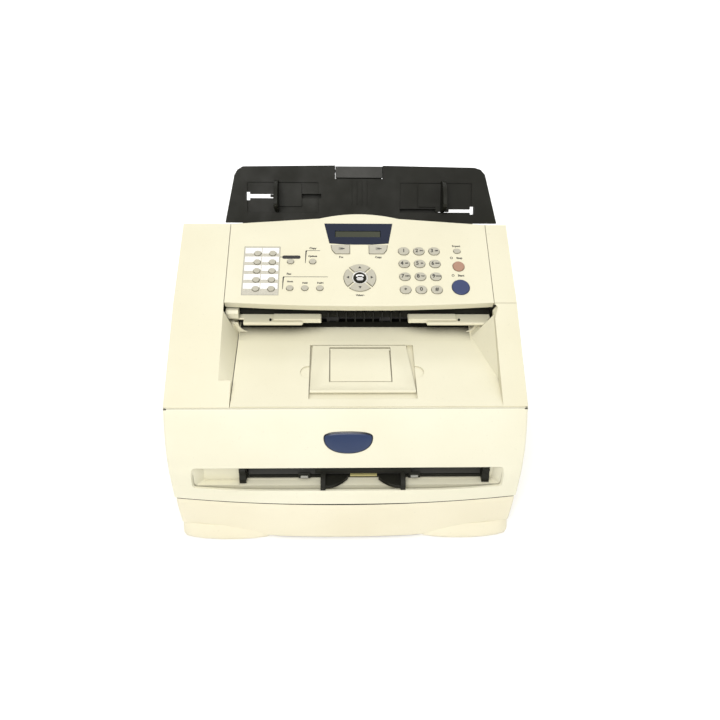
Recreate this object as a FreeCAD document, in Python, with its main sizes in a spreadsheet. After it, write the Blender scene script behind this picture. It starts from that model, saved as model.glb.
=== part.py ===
import FreeCAD, Part
import os
import re
import Sketcher
from FreeCAD import Rotation, Vector

# Desktop laser fax machine. X to the right, Y to the rear, Z up, millimetres.
# The origin is the centre of the footprint, on the surface the machine stands on.

SIZES = {
    # body outline, seen from the side
    "half_width": 187, "half_depth": 187, "wall": 2.5, "seam": 0.6,
    "seam_y": -150.1, "seam_z": 170.7,
    "mid_y": -45, "mid_z": 228.6,
    "crest_y": 53.2, "crest_z": 271,
    "slope_y": 70, "slope_z": 262, "back_z": 190,
    "cover_base": 62, "skirt_z": 5, "rear_seam_y": 180,
    # output tray recess between the two side columns
    "left_x": -133, "right_x": 162.6, "bay_left": -120, "bay_right": 139.7,
    "bay_front_x": 162, "bay_front_y": -141, "bay_front_z": 172.3, "bay_rear_y": -30,
    "wall_rear_y": -53, "wall_top_z": 200,
    "floor_slope": 10, "paper_x": 15.3,
    # control panel, in its own tilted frame
    "panel_slope": 23.35, "panel_len": 107, "panel_skirt": 9, "panel_bow": 4.9,
    "hump_len": 122, "key_gap": 0.4, "key_top": 1.3, "key_low": -4.6, "board_low": -8.4,
    # document tray, in its own tilted frame
    "tray_y": 74, "tray_z": 262, "tray_slope": 60, "tray_thick": 9,
    "leaf_pin_len": 60.5, "leaf_pin_depth": -5.5,
    # front cover and its manual feed recess
    "front_bow": 11.3, "lip_y": -184.4, "lip_z": 80, "brow_y": -175.6, "brow_z": 105,
    "scoop_left": -160, "scoop_right": 165, "slot_left": -106.8, "slot_right": 146.2,
    "cover_pin_y": -182.5,
    # hinge pins of the control panel
    "panel_pin_y": 48, "panel_pin_z": 262, "pin_radius": 2.5,
    # paper cassette
    "cassette_half": 150, "cassette_top": 60, "cassette_rear": 150,
}

doc = FreeCAD.newDocument("FaxMachine")
sheet = doc.addObject("Spreadsheet::Sheet", "Sizes")
for row, (alias, number) in enumerate(SIZES.items(), 1):
    sheet.set(f"A{row}", alias)
    sheet.set(f"B{row}", str(number))
    sheet.setAlias(f"B{row}", alias)
doc.recompute()

ALIAS = re.compile(r"\b(" + "|".join(sorted(SIZES, key=len, reverse=True)) + r")\b")
PLANES = {
    "XY": Rotation(),
    "YZ": Rotation(Vector(1, 1, 1), 120),
    "XZ": Rotation(Vector(1, 0, 0), 90),
}
AXES = {"X": Rotation(Vector(0, 1, 0), 90), "Y": Rotation(Vector(1, 0, 0), -90), "Z": Rotation()}
nodes = []


def value(expression):
    """The number that an expression of sheet aliases stands for."""
    return float(sheet.evalExpression(str(expression)))


def bind(thing, prop, expression):
    """Drive one property of an object from the sheet."""
    thing.setExpression(prop, ALIAS.sub(lambda word: "Sizes." + word.group(), str(expression)))


def minus(high, low):
    return f"({high}) - ({low})"


def box(x0, x1, y0, y1, z0, z1):
    """A block between two corners."""
    block = doc.addObject("Part::Box", "Block")
    for prop, low, high in (("Length", x0, x1), ("Width", y0, y1), ("Height", z0, z1)):
        bind(block, prop, minus(high, low))
    for prop, low in (("x", x0), ("y", y0), ("z", z0)):
        bind(block, "Placement.Base." + prop, low)
    return block


def rod(axis, start, radius, length):
    """A round bar from a start point along one axis."""
    bar = doc.addObject("Part::Cylinder", "Rod")
    bar.Placement.Rotation = AXES[axis]
    bind(bar, "Radius", radius)
    bind(bar, "Height", length)
    for prop, expression in zip("xyz", start):
        bind(bar, "Placement.Base." + prop, expression)
    return bar


def outline(plane, offset, points):
    """A closed straight-sided sketch in a plane, with every corner bound to the sheet."""
    sketch = doc.addObject("Sketcher::SketchObject", "Outline")
    sketch.Placement.Rotation = PLANES[plane]
    across = {"XY": "z", "YZ": "x", "XZ": "y"}[plane]
    bind(sketch, "Placement.Base." + across, offset)
    corners = [Vector(value(a), value(b), 0) for a, b in points]
    count = len(corners)
    lines = [Part.LineSegment(corners[i], corners[(i + 1) % count]) for i in range(count)]
    sketch.addGeometry(lines, False)
    for i in range(count):
        sketch.addConstraint(Sketcher.Constraint("Coincident", i, 2, (i + 1) % count, 1))
    for i, corner in enumerate(corners):
        for kind, place, expression in zip(("DistanceX", "DistanceY"), (corner.x, corner.y), points[i]):
            number = sketch.addConstraint(Sketcher.Constraint(kind, -1, 1, i, 1, place))
            if ALIAS.search(str(expression)):
                bind(sketch, f"Constraints[{number}]", expression)
    return sketch


def prism(plane, points, low, high):
    """An outline carried from one offset to another, square to its plane."""
    start = high if plane == "XZ" else low
    solid = doc.addObject("Part::Extrusion", "Prism")
    solid.Base = outline(plane, start, points)
    solid.DirMode = "Normal"
    solid.Solid = True
    bind(solid, "LengthFwd", minus(high, low))
    return solid


def loft(plane, *sections):
    """A straight-sided solid through outlines at several offsets."""
    solid = doc.addObject("Part::Loft", "Loft")
    solid.Sections = [outline(plane, offset, points) for offset, points in sections]
    solid.Solid = True
    solid.Ruled = True
    return solid


def fuse(*pieces):
    if len(pieces) == 1:
        return pieces[0]
    joined = doc.addObject("Part::MultiFuse", "Joined")
    joined.Shapes = list(pieces)
    joined.Refine = True
    return joined


def cut(piece, *tools):
    result = doc.addObject("Part::Cut", "Hollowed")
    result.Base = piece
    result.Tool = fuse(*tools)
    return result


def common(piece, tool):
    result = doc.addObject("Part::MultiCommon", "Shared")
    result.Shapes = [piece, tool]
    return result


def group(*pieces):
    """Separate solids that share one node."""
    bundle = doc.addObject("Part::Compound", "Group")
    bundle.Links = list(pieces)
    return bundle


def rounded(piece, radius, choose):
    """Fillet the edges that a test picks."""
    doc.recompute()
    picked = [i + 1 for i, edge in enumerate(piece.Shape.Edges) if choose(edge)]
    result = doc.addObject("Part::Fillet", "Rounded")
    result.Base = piece
    result.Edges = [(i, value(radius), value(radius)) for i in picked]
    return result


def along(axis):
    """A test for straight edges that run along one axis."""
    pick = {"X": Vector(1, 0, 0), "Y": Vector(0, 1, 0), "Z": Vector(0, 0, 1)}[axis]

    def test(edge):
        run = edge.Vertexes[-1].Point - edge.Vertexes[0].Point
        return run.Length > 0.01 and abs(run.normalize() * pick) > 0.999
    return test


def placed(piece, frame):
    """Turn a shape from the tilted frame that it was drawn in to its place in the machine."""
    base_y, base_z, slope = frame
    holder = doc.addObject("Part::Compound", "Placed")
    holder.Links = [piece]
    holder.Placement.Rotation = Rotation(Vector(1, 0, 0), value(slope))
    bind(holder, "Placement.Rotation.Angle", slope)
    bind(holder, "Placement.Base.y", base_y)
    bind(holder, "Placement.Base.z", base_z)
    return holder


def node(name, piece, frame=None):
    """Finish a sub-part: give it its name, and its place where it was drawn in a tilted frame."""
    if frame:
        piece.Label = name + "_flat"
        piece = placed(piece, frame)
    piece.Label = name
    nodes.append(piece)
    return piece


PANEL = ("mid_y", "mid_z", "panel_slope")
TRAY = ("tray_y", "tray_z", "tray_slope")
FLOOR = ("bay_front_y", "bay_front_z", "floor_slope")


def floor_z(y):
    """Height of the output tray's floor."""
    return f"bay_front_z + (({y}) - bay_front_y) * tan(floor_slope)"


def column_z(y):
    """Height of the front slope of the side columns."""
    return f"mid_z + (({y}) - mid_y) * (mid_z - seam_z) / (mid_y - seam_y)"


def side_profile(inset, low):
    """Side outline of a column, shrunk by an inset, open at the bottom where low is below the skirt."""
    return [
        (f"seam_y + {inset}", low),
        (f"seam_y + {inset}", f"seam_z - {inset} * 1.2"),
        ("mid_y", f"mid_z - {inset} * 1.12"),
        ("crest_y", f"crest_z - {inset} * 1.1"),
        ("slope_y", f"slope_z - {inset} * 1.2"),
        (f"rear_seam_y - {inset}", f"back_z + 4 - {inset} * 1.2"),
        (f"rear_seam_y - {inset}", low),
    ]


def pin_boss(x0, x1):
    """A plate under a column's top that carries one of the control panel's hinge pins."""
    plate = box(x0, x1, "panel_pin_y - 7", "panel_pin_y + 6", "panel_pin_z - 9", "panel_pin_z + 4")
    return cut(plate, rod("X", (f"{x0} - 5", "panel_pin_y", "panel_pin_z"), "pin_radius + 0.05", 20))


def left_side_cover():
    shell = prism("YZ", side_profile(0, "skirt_z"), "-half_width", "left_x")
    hollow = prism("YZ", side_profile(2.5, "skirt_z - 10"), "wall - half_width", "left_x + 5")
    cassette_room = box("-cassette_half - 2", 0, "seam_y - 5", "seam_y + 10", 0, "cover_base - 1")
    socket_room = box(-162, -128, "half_depth - 19", "half_depth", 24, 50)
    body = cut(shell, hollow, cassette_room, socket_room)
    wall = loft(
        "XZ",
        ("wall_rear_y", [("left_x", column_z("wall_rear_y")), ("bay_left", floor_z("wall_rear_y")),
                         ("bay_left - 2.5", floor_z("wall_rear_y")),
                         ("left_x - 2.5", column_z("wall_rear_y") + " - 1.5")]),
        ("-124", [("left_x", column_z(-124)), ("bay_left", floor_z(-124)),
                  ("bay_left - 2.5", floor_z(-124)), ("left_x - 2.5", column_z(-124) + " - 1.5")]))
    corner = prism("YZ", [("seam_y", "seam_z"), (-124, column_z(-124)), (-124, floor_z(-124) + " - 2"),
                          ("seam_y", "seam_z - 6")], "left_x - 1", "bay_left")
    low_wall = prism(
        "XZ",
        [(-124.4, "wall_top_z"), ("bay_left", floor_z("wall_rear_y")),
         ("bay_left - 2.5", floor_z("wall_rear_y")),
         ("left_x + 1.5", "wall_top_z - 5"), ("left_x - 2", "wall_top_z - 5"), ("left_x - 2", "wall_top_z")],
        "wall_rear_y - 0.5", "bay_rear_y")
    return node("left_side_cover", fuse(body, wall, corner, low_wall, pin_boss(-137, -134)))


def right_side_cover():
    shell = prism("YZ", side_profile(0, "skirt_z"), "right_x", "half_width")
    hollow = prism("YZ", side_profile(2.5, "skirt_z - 10"), "right_x - 5", "half_width - wall")
    # the front slope of this column belongs to the top cover
    step = prism("YZ", [("seam_y - 5", column_z("seam_y - 5") + " - 12"), ("seam_y - 5", "mid_z + 20"),
                        ("mid_y", "mid_z + 20"), ("mid_y", "mid_z - 12")], "right_x - 8", "half_width + 5")
    return node("right_side_cover", fuse(cut(shell, hollow, step), pin_boss(163.6, 166.6)))


def top_cover():
    front = "seam_y + seam"
    plate = prism("XY", [("bay_left + seam", "bay_rear_y"), ("bay_left + seam", front),
                         ("bay_front_x", front), ("bay_front_x", "-113"),
                         ("bay_right", "bay_rear_y")], 150, 200)
    slab = prism("YZ", [(front, floor_z(-141) + " - 1"), ("bay_front_y", "bay_front_z"),
                        ("bay_rear_y", floor_z("bay_rear_y")),
                        ("bay_rear_y", floor_z("bay_rear_y") + " - 2.5"),
                        ("bay_front_y", "bay_front_z - 2.5"), (front + " + 2.5", floor_z(-141) + " - 3.5"),
                        (front + " + 2.5", "seam_z - 12"), (front, "seam_z - 12")],
                 "bay_left", "bay_front_x")
    floor = common(plate, slab)
    wall = loft(
        "XZ",
        ("wall_rear_y", [("right_x + 3", column_z("wall_rear_y")),
                         ("bay_right + 0.8", floor_z("wall_rear_y")),
                         ("bay_right + 3.5", floor_z("wall_rear_y") + " - 1"),
                         ("right_x + 6", column_z("wall_rear_y") + " - 2")]),
        ("-113", [("right_x + 3", column_z(-113)), ("bay_front_x - 0.5", floor_z(-113)),
                  ("bay_front_x + 2", floor_z(-113) + " - 1"), ("right_x + 6", column_z(-113) + " - 2")]))
    column = cut(
        prism("YZ", [(front, column_z(front) + " - 11.4"), (front, column_z(front)),
                     ("mid_y - seam", column_z("mid_y - seam")),
                     ("mid_y - seam", column_z("mid_y - seam") + " - 11.4")],
              "bay_front_x - 0.5", "half_width"),
        prism("YZ", [("seam_y + 3.1", column_z("seam_y + 3.1") + " - 14"),
                     ("seam_y + 3.1", column_z("seam_y + 3.1") + " - 2.8"), ("mid_y - 3.1", "mid_z - 4.5"),
                     ("mid_y - 3.1", "mid_z - 15.7")], "bay_front_x + 2", "half_width - wall"),
        prism("XZ", [("bay_front_x - 9", floor_z(-50) + " - 30"), ("bay_right + 3", floor_z(-50)),
                     ("right_x + 3", column_z(-50)), ("bay_front_x - 9", column_z(-50) + " + 9")],
              "-112", "mid_y + 9"))
    low_wall = prism(
        "XZ",
        [(149, "wall_top_z"), ("bay_right + 0.8", floor_z("wall_rear_y")),
         ("bay_right - 1", floor_z("wall_rear_y")),
         ("bay_right + 3", floor_z("wall_rear_y") + " - 1"), (152, "wall_top_z - 1.5"),
         (158, "wall_top_z - 1.5"), (158, "wall_top_z")],
        "wall_rear_y - 0.5", "bay_rear_y")
    body = fuse(floor, wall, low_wall, column)
    well_room = box(-39.6, 73.6, -139.5, -64, 160, 200)
    tray = fuse(cut(body, well_room), placed(flap_well(), FLOOR))
    # shallow finger dips beside the folded paper stop
    dips = [rod("Z", (x, 38, -1.6), 8.4, 10) for x in (-41, 74.6)]
    return node("top_cover", cut(tray, placed(group(*dips), FLOOR)))


def flap_well():
    """The pocket in the output tray's floor that the folded paper stop lies in."""
    block = box(-45, 79, 0, 80, -7, 0)
    pocket = box(-39.6, 73.6, 2, 77.2, -4.3, 5)
    return cut(block, pocket)


def support_flap():
    """The hinged paper stop and the smaller stop nested in it."""
    plate = prism("XY", [(-38.6, 12.5), (72.8, 12.5), (66, 76.3), (-37, 76.3)], -3.2, -0.2)
    window = box(-18.4, 48.6, 24.5, 74, -6, 4)
    barrel = rod("X", (-38.6, 12.8, -2), 1.9, 111.4)
    node("support_flap", fuse(cut(plate, window), barrel), FLOOR)
    inner = prism("XY", [(-17.2, 25.2), (47.6, 25.2), (47, 70), (-17.5, 70)], -3, -0.2)
    pin = rod("X", (-17.9, 71, -1.7), 1.5, 66)
    node("support_flap_inner", fuse(inner, pin), FLOOR)


def base_chassis():
    deck = box(-183.4, 183.4, "seam_y + 5", "rear_seam_y - 3", 62.6, 65.6)
    rails = [box(x0, x1, "seam_y + 5", "rear_seam_y - 3", "skirt_z", 63)
             for x0, x1 in ((-183.4, -152), (152, 183.4))]
    beam = box(-160, 160, 155, "rear_seam_y - 3", "skirt_z", 63)
    plates = [box(x0, x0 + 2.5, -140, 174, 65, 158) for x0 in (-130.5, 151)]
    plates += [box(x0, x0 + 2.5, -24, 174, 157, 186) for x0 in (-130.5, 151)]
    tie = box(-130, 152, 100, 103, 65, 186)
    frame = fuse(deck, *rails, beam, *plates, tie)
    pickup_gap = box(-30, 60, -140, -84, 60, 70)
    socket_gaps = [box(x0, x0 + 34, "half_depth - 19", 180, 24, 50) for x0 in (-162, 127)]
    return node("base_chassis", cut(frame, pickup_gap, *socket_gaps))


def rear_cover():
    skin = box("0.5 - half_width", "half_width - 0.5", "rear_seam_y + seam", "half_depth",
               "skirt_z", "back_z")
    hollow = box("3 - half_width", "half_width - 3", "rear_seam_y - 5", "half_depth - wall",
                 "skirt_z - 5", "back_z - 2.5")
    roof = prism("YZ", [(96, 246.4), ("half_depth", "back_z"), ("half_depth - 4", "back_z - 2.2"),
                        (96, 243.6)],
                 "left_x + seam", "right_x - seam")
    door_gap = box(-110, 120, "half_depth - 9", "half_depth + 5", 64, 150)
    inlet_gap = box(127.4, 160.6, "half_depth - 9", "half_depth + 5", 25.4, 49.6)
    rocker_gap = box(134.4, 155.6, "half_depth - 9", "half_depth + 5", 59, 75)
    jack_gap = box(-160.6, -129.4, "half_depth - 9", "half_depth + 5", 24.4, 45.6)
    return node("rear_cover", cut(fuse(cut(skin, hollow), roof), door_gap, inlet_gap, rocker_gap, jack_gap))


def rear_door():
    plate = box(-109.4, 119.4, "half_depth - 2.5", "half_depth", 64.8, 149.4)
    ribs = [box(x, x + 2.5, "half_depth - 8", "half_depth - 2", 74, 145) for x in range(-95, 120, 30)]
    return node("rear_door", fuse(plate, *ribs))


def rear_sockets():
    body = box(128, 160, "half_depth - 18", "half_depth - 0.2", 26, 49)
    well = box(131, 157, "half_depth - 14", "half_depth + 5", 29, 46)
    pins = [box(x, x + 2, "half_depth - 15", "half_depth - 4", 34, 41) for x in (137, 143, 149)]
    inlet = fuse(cut(body, well), *pins)
    node("power_rocker", prism("YZ", [("half_depth - 6", 61), ("half_depth - 6", 73),
                                      ("half_depth - 1", 73), ("half_depth - 2.5", 67),
                                      ("half_depth - 0.2", 61)], 135, 155))
    block = box(-160, -130, "half_depth - 18", "half_depth - 0.2", 25, 45)
    holes = [box(x, x + 10.5, "half_depth - 14", "half_depth + 5", 30, 39.5) for x in (-157, -143.5)]
    node("rear_sockets", group(inlet, cut(block, *holes)))


def front_bow(z0, z1, front):
    """A tall disc whose rim is the gentle bow of the machine's front face."""
    radius = f"(half_width^2 + front_bow^2) / (2 * front_bow)"
    return rod("Z", (0, f"{front} + {radius}", z0), radius, minus(z1, z0))


def front_cover():
    low = "cover_base"
    skin = prism("YZ", [("seam_y - seam / 2", "seam_z - 0.6"), (-156.5, 162), (-162.5, 150), (-168.2, 136),
                        (-171.9, 125), ("brow_y", "brow_z"), ("lip_y", "lip_z"), ("-half_depth", low),
                        ("seam_y - seam", low), ("seam_y - seam", "seam_z - 13"),
                        ("seam_y - seam / 2", "seam_z - 13")], "-half_width", "half_width")
    body = common(skin, front_bow(50, 180, "-half_depth"))
    body = rounded(body, 7, lambda edge: along("Z")(edge) and edge.CenterOfMass.y < -170)
    hollow = prism("YZ", [("seam_y + 3", "seam_z - 3.5"), (-154, 162), (-159.5, 150), (-165.4, 136),
                          (-169, 125), (-172.6, "brow_z"), (-173.5, 90), (-173.5, "cover_base + 2.5"),
                          ("seam_y + 3", "cover_base + 2.5")], "3 - half_width", "half_width - 3")
    body = cut(body, hollow)
    throat = box("scoop_left - 2", "scoop_right + 2", -176, -158, 72, 112)
    lining = common(throat, prism("YZ", [(-171.9, 125), ("brow_y", "brow_z"), (-178, 70), (-150, 70),
                                         (-150, 125)], -180, 180))
    scoop = loft("XZ", (-190, [("scoop_left - 2", 81), ("scoop_right + 2", 81),
                               ("scoop_right + 2", 105), ("scoop_left - 2", 105)]),
                 (-166, [("scoop_left + 8", 80), ("scoop_right - 8", 80),
                         ("scoop_right - 8", 104), ("scoop_left + 8", 104)]))
    mouth = box("slot_left - 8.5", "slot_right + 8.5", -175, -140, 80.5, 100)
    barrels = [box(x0, x0 + 12, "cover_pin_y + 2", "cover_pin_y + 8", 63, 72) for x0 in (-120, 108)]
    return node("front_cover", cut(fuse(body, lining, *barrels), scoop, mouth, badge_plate()))


def badge_plate():
    """A plain name plate: flat top, rounded bottom."""
    plate = prism("XZ", [(-17, 149), (-24, 146), (-26, 141.5), (-19, 132), (-8, 126.2), (1.6, 125),
                         (11, 126.2), (22, 132), (29, 141.5), (27, 146), (20, 149)], -176, -150)
    face = prism("YZ", [(-162.9, 151), (-170.3, 132), (-174, 118), (-172, 118), (-167.9, 132), (-160.5, 151)],
                 -40, 40)
    return common(plate, face)


def manual_feed():
    """The dark slot lining behind the front cover and the two sliding paper guides."""
    bar = box("slot_left - 8", "slot_right + 8", -165, -161, 81, 99.5)
    opening = box("slot_left", "slot_right", -170, -155, 84, 97)
    node("manual_feed_slot", cut(bar, opening))
    for side, near, far in (("left", -27.8, 1.6), ("right", 62.9, 35)):
        inward = 1 if far > near else -1
        fence_low = near if inward > 0 else near - 3.5
        fence = prism("YZ", [(-182, 81.8), (-182, 86), (-177, 94), (-167, 94), (-167, 81.8)],
                      fence_low, f"{fence_low} + 3.5")
        wing = prism("XY", [(near, -181), (near + inward * 14, -179), (near + inward * 22, -175), (far, -167),
                            (near, -167)], 82.2, 84.8)
        node(f"manual_guide_{side}", fuse(fence, wing))


def cassette():
    half = "cassette_half"
    shell = box(f"-{half}", half, -150, "cassette_rear", 6, 56)
    hollow = box(f"2.5 - {half}", f"{half} - 2.5", -147.5, "cassette_rear - 2.5", 8.5, 70)
    node("cassette_tray", cut(shell, hollow))
    plate = box(-138, 138, -120, 130, 11, 12.5)
    node("cassette_lift_plate", fuse(plate, rod("X", (-138, 130, 12.5), 2.5, 276)))
    top = "cassette_top"
    face = prism("YZ", [("-half_depth", top), ("1 - half_depth", 22), ("3 - half_depth", 5), (-152, 5),
                        (-152, top)], "1 - half_width", "half_width - 1")
    face = common(face, front_bow(0, 70, "-half_depth"))
    face = rounded(face, 7, lambda edge: along("Z")(edge) and edge.CenterOfMass.y < -170)
    room = prism("YZ", [(-190, "cassette_top - 3"), (-190, -5), (-149, -5), (-149, "cassette_top - 3")],
                 "4 - half_width", "half_width - 4")
    hollow = common(room, front_bow(-10, 70, "4 - half_depth"))
    # the lower edge rises towards both sides over the recessed corner feet
    feet = [common(box(x0, x1, -180.5, -153, 0.8, 10), front_bow(0, 70, "4 - half_depth"))
            for x0, x1 in ((-180, -92), (92, 180))]
    arch = [(88, -5), (88, 5), (120, 9.5), (155, 16), (190, 17), (190, -5)]
    arches = [prism("XZ", [(side * x, z) for x, z in arch], -200, -182) for side in (-1, 1)]
    back = box(f"-{half}", half, -153, -150.2, 8, 54)
    node("cassette_front", fuse(cut(face, hollow, *arches), *feet, back))


def control_panel():
    """The tilted panel: a shell with a bowed front edge and a hump at the rear, pierced for its keys."""
    left = "left_x + seam"
    right = "right_x - seam"
    middle = "paper_x"
    low = "-panel_skirt"
    radius = "((right_x - left_x)^2 / 4 + panel_bow^2) / (2 * panel_bow)"
    # the rear edge climbs from both corners to a shallow parabola over the display
    hump = [(f"{middle} - 46 * {k / 6:.4f}", f"hump_len - 6.7 * {(k / 6) ** 2:.4f}") for k in range(-6, 7)]
    sheet_outline = [(left, -10), (right, -10), (right, "panel_len"), *hump, (left, "panel_len")]
    body = common(prism("XY", sheet_outline, low, 0),
                  rod("Z", (middle, f"{radius} - panel_bow", low), radius, "panel_skirt"))
    inner = [(f"{left} + 2.5", 0), (f"{right} - 2.5", 0), (f"{right} - 2.5", "panel_len - 3"),
             (f"{middle} + 44", "hump_len - 9.5"), (f"{middle} - 44", "hump_len - 9.5"),
             (f"{left} + 2.5", "panel_len - 3")]
    shell = cut(body, prism("XY", inner, f"{low} - 1", -2.5))
    holes = [solid for key in KEYS for solid in key_solids(key, "key_gap", -4, 4)]
    holes += [oval(x, s, 7.4 + 0.8, 6.2 + 0.8, -4, 4) for x, s in MEMORY_KEYS]
    bezel_hole = prism("XY", bezel_outline(0.2), -6, 4)
    # hinge arms and pins, level with the pin holes in the side covers
    arms = [box(x0, x0 + 5, 96, 103, -9, -2) for x0 in (-132, 156.6)]
    pin_s = "(panel_pin_y - mid_y) * cos(panel_slope) + (panel_pin_z - mid_z) * sin(panel_slope)"
    pin_n = "(panel_pin_z - mid_z) * cos(panel_slope) - (panel_pin_y - mid_y) * sin(panel_slope)"
    pins = [rod("X", (x0, pin_s, pin_n), "pin_radius", 12) for x0 in (-138, 155.6)]
    node("control_panel_cover", cut(fuse(shell, *arms, *pins), *holes, bezel_hole), PANEL)
    board = box(f"{left} + 4", f"{right} - 4", 4, 92, "board_low", "board_low + 1.6")
    screen = box(-12, 39.5, 89, 97.3, "board_low + 0.5", -0.6)
    node("panel_board", fuse(board, screen), PANEL)


def bezel_outline(gap):
    return [(-24.8 - gap, 108 + gap), (54 + gap, 108 + gap), (48.6 + gap, 79.8 - gap), (30, 78.2 - gap),
            (0, 78.2 - gap), (-18.7 - gap, 79.8 - gap)]


def display():
    """The blue frame around the liquid crystal display."""
    frame = prism("XY", bezel_outline(0), -3, 0.4)
    window = box(-12.4, 39.9, 88.6, 97.7, -5, 2)
    node("display_bezel", cut(frame, window), PANEL)


def oval(x, s, width, height, low, high):
    """A key's plan: a slab with half-round ends."""
    tall = height / 2
    middle = box(x - width / 2 + tall, x + width / 2 - tall, s - tall, s + tall, low, high)
    ends = [rod("Z", (x + side * (width / 2 - tall), s, low), tall, minus(high, low)) for side in (-1, 1)]
    return fuse(middle, *ends)


# key name, shape, centre across, centre up the slope, sizes
KEYS = [(f"dial_key_{3 * row + column + 1}", "oval", 65.6 + 17.35 * column, 68.8 - 17.4 * row, 12.3, 10.4)
        for row in range(4) for column in range(3)]
KEYS += [
    ("start_key", "round", 127, 20, 9.8, 0),
    ("stop_key", "round", 126.7, 48, 6.5, 0),
    ("report_key", "oval", 126.6, 69.1, 7.8, 6),
    ("nav_centre_key", "round", 15.3, 32.3, 6.9, 0),
    ("mode_key_left", "mode", -1, 0, 0, 0),
    ("mode_key_right", "mode", 1, 0, 0, 0),
    ("nav_up_key", "arrow", 90, 0, 17.8, 8.6),
    ("nav_left_key", "arrow", 180, 0, 17.8, 8.6),
    ("nav_down_key", "arrow", 270, 0, 17.8, 8.6),
    ("nav_right_key", "arrow", 0, 0, 17.8, 8.6),
]
# the ten one-touch keys and the five function keys stand on one rubber mat
MEMORY_KEYS = [(x, 65 - 11.9 * row) for x in (-99.4, -82.5) for row in range(5)]
MEMORY_KEYS += [(-62.2, 54), (-37.4, 54), (-62, 18.4), (-45.5, 18.4), (-28.9, 18.4)]


def key_solids(key, gap, low, high):
    """The upright solid of one key cap, grown by a gap where it stands for the cap's hole."""
    name, shape, x, s, size, second = key
    grow = value(gap)
    if shape == "oval":
        return [oval(x, s, size + 2 * grow, second + 2 * grow, low, high)]
    if shape == "round":
        return [rod("Z", (x, s, low), size + grow, minus(high, low))]
    if shape == "mode":
        side = x
        centre = SIZES["paper_x"]
        corners = [(centre + side * (11 - grow), 65 - grow), (centre + side * (11 - grow), 77 + grow),
                   (centre + side * (32.3 + grow), 77 + grow), (centre + side * (31 + grow), 70),
                   (centre + side * (27.2 + grow), 65 - grow)]
        return [prism("XY", corners, low, high)]
    return [arrow(x, size + grow, second - grow, 2.6 - 2 * grow, low, high)]


def arrow(turn, outer, inner, gap, low, high):
    """A quarter of the navigation ring, between two diagonal gaps."""
    centre_x = SIZES["paper_x"]
    centre_s = 32.3
    ring = cut(rod("Z", (centre_x, centre_s, low), outer, minus(high, low)),
               rod("Z", (centre_x, centre_s, f"{low} - 1"), inner, f"{minus(high, low)} + 2"))
    reach = outer * 1.5
    start = gap / 2 ** 0.5
    spread = {0: ((1, 1), (1, -1)), 90: ((1, 1), (-1, 1)), 180: ((-1, 1), (-1, -1)), 270: ((-1, -1), (1, -1))}
    ahead = {0: (1, 0), 90: (0, 1), 180: (-1, 0), 270: (0, -1)}[turn]
    tip = (centre_x + ahead[0] * start, centre_s + ahead[1] * start)
    corners = [tip] + [(tip[0] + reach * a, tip[1] + reach * b) for a, b in spread[turn]]
    return common(ring, prism("XY", corners, low, high))


def keys():
    for key in KEYS:
        cap = key_solids(key, 0, "key_low", "key_top")
        node(key[0], fuse(*cap), PANEL)
    mat = box(-105.5, -22.5, 12.5, 70, "key_low - 0.8", "key_low + 0.4")
    caps = [oval(x, s, 7.4, 6.2, "key_low", "key_top") for x, s in MEMORY_KEYS]
    node("memory_keys", fuse(mat, *caps), PANEL)


def document_exit():
    """The two fixed plates that scanned originals slide out on, and the scanner frame behind them."""
    plates = []
    for points in (
            [(-113.4, -51.5), (-47.5, -51.5), (-47.5, -48.6), (-27.5, -48.6), (-27.5, -34),
             (-131.8, -34), (-131.8, -41), (-113.4, -43)],
            [(158.7, -51.5), (89, -51.5), (89, -48.6), (68.8, -48.6), (68.8, -34), (161.4, -34),
             (161.4, -41), (158.7, -43)]):
        plates.append(prism("XY", points, 203.4, 205.6))
    node("document_exit_plates", group(*plates))
    frame = prism("YZ", [(-33.4, 201), (-33.4, 207.5), (-29, 217), (49, 249.5), (52, 247), (52, 201)],
                  "left_x + seam", "right_x - seam")
    groove = rod("X", (-80, 38, 241.5), 7.2, 190)
    node("scanner_frame", cut(frame, groove))
    node("feed_roller", rod("X", (-79, 38, 241.5), 6.6, 188))


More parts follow.
